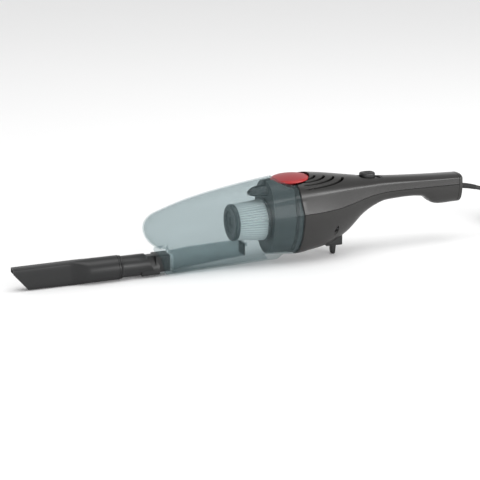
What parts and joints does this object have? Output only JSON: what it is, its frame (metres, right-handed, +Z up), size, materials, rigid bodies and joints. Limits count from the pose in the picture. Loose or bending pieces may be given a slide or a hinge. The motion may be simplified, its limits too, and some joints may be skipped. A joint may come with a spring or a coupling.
{
  "type": "handheld vacuum cleaner",
  "caption": "Corded handheld vacuum with a smoky clear dust cup, red release button, crevice nozzle, slide switch, tapering handle and mains cord in a coil.",
  "frame": {"origin": "on the floor under the middle of the vacuum's own length, cord left out", "axes": "+X along the vacuum towards the handle's end, nozzle towards -X; +Z up; Y across"},
  "size_m": [0.8836, 0.1509, 0.1263],
  "materials": {
    "smoky_clear": "smoky transparent moulded plastic, polished",
    "housing_grey": "dark pearl grey moulded plastic, satin",
    "nozzle_black": "black moulded plastic, satin",
    "button_red": "red moulded plastic, satin",
    "holder_grey": "grey moulded plastic",
    "cap_grey": "smoky grey moulded plastic",
    "filter_paper": "pale pleated filter paper",
    "soft_rubber": "soft black rubber",
    "cord_black": "black flexible cord sheath",
    "steel": "plain steel",
    "dark_steel": "blackened steel",
    "laminated_steel": "stacked steel sheet",
    "copper": "copper",
    "brass": "bright brass",
    "carbon": "carbon",
    "white_plastic": "white moulded plastic"
  },
  "bodies": {
    "root": {"upper_housing": "housing_grey", "lower_housing": "housing_grey", "bulkhead": "holder_grey", "cup_seal": "soft_rubber", "button_spring": "steel", "handle_end_cap": "housing_grey", "cord_hook": "nozzle_black", "switch_bezel": "nozzle_black", "switch_module": "nozzle_black", "suppressor": "white_plastic", "fan_shroud": "steel", "motor_front_frame": "steel", "motor_rear_frame": "steel", "front_bearing": "steel", "rear_bearing": "steel", "field_core": "laminated_steel", "field_winding": "copper", "front_motor_mount": "soft_rubber", "rear_motor_mount": "soft_rubber", "brush_holder_near": "brass", "brush_holder_far": "brass", "carbon_brush_near": "carbon", "carbon_brush_far": "carbon", "inner_lead_near": "cord_black", "inner_lead_far": "cord_black", "motor_lead_near": "cord_black", "motor_lead_far": "cord_black", "clamp_screw_near": "steel", "clamp_screw_far": "steel", "housing_screw_1": "dark_steel", "housing_screw_2": "dark_steel", "housing_screw_3": "dark_steel", "housing_screw_4": "dark_steel", "cord_clamp": "nozzle_black", "cord_strain_relief": "soft_rubber", "cord_lead": "cord_black", "cord_coil": "cord_black", "cord_tail": "cord_black", "cord_tie": "soft_rubber", "plug_body": "cord_black", "plug_pin_near": "brass", "plug_pin_far": "brass"},
    "cup": {"dust_cup": "smoky_clear", "inlet_duct": "smoky_clear"},
    "flap": {"inlet_flap": "soft_rubber", "flap_pin": "steel"},
    "adapter": {"nozzle_adapter": "nozzle_black", "adapter_seal": "soft_rubber"},
    "nozzle": {"crevice_nozzle": "nozzle_black"},
    "filter": {"filter_frame": "holder_grey", "filter_pleats": "filter_paper", "filter_front_cap": "cap_grey", "filter_seal": "soft_rubber"},
    "button": {"release_button": "button_red", "release_latch": "holder_grey"},
    "switch": {"switch_cap": "nozzle_black"},
    "rotor": {"motor_shaft": "steel", "armature_core": "laminated_steel", "commutator": "copper", "fan_impeller": "steel"}
  },
  "joints": [
    {"name": "rotor_spin", "type": "hinge", "parent": "root", "child": "rotor", "pos_m": [0.101, 0, 0.066], "axis": [1, 0, 0], "continuous": true},
    {"name": "switch_slide", "type": "slide", "parent": "root", "child": "switch", "axis": [1, 0, 0], "range_m": [0, 0.005]},
    {"name": "button_press", "type": "slide", "parent": "root", "child": "button", "axis": [0, 0, -1], "range_m": [0, 0.0025], "stiffness_N_per_m": 1500, "springref_m": -0.002, "deforming": ["button_spring"]},
    {"name": "cup_pull", "type": "slide", "parent": "root", "child": "cup", "axis": [-1, 0, 0], "range_m": [0, 0.11]},
    {"name": "flap_swing", "type": "hinge", "parent": "cup", "child": "flap", "pos_m": [-0.0082, 0, 0.0337], "axis": [0, -1, 0], "range_deg": [0, 50], "stiffness_Nm_per_rad": 0.001, "springref_deg": -11.46},
    {"name": "filter_pull", "type": "slide", "parent": "root", "child": "filter", "axis": [-1, 0, 0], "range_m": [0, 0.018]},
    {"name": "adapter_pull", "type": "slide", "parent": "cup", "child": "adapter", "axis": [-1, 0, 0], "range_m": [0, 0.04]},
    {"name": "nozzle_twist", "type": "hinge", "parent": "adapter", "child": "nozzle", "pos_m": [-0.199, 0, 0.017], "axis": [1, 0, 0], "continuous": true}
  ]
}
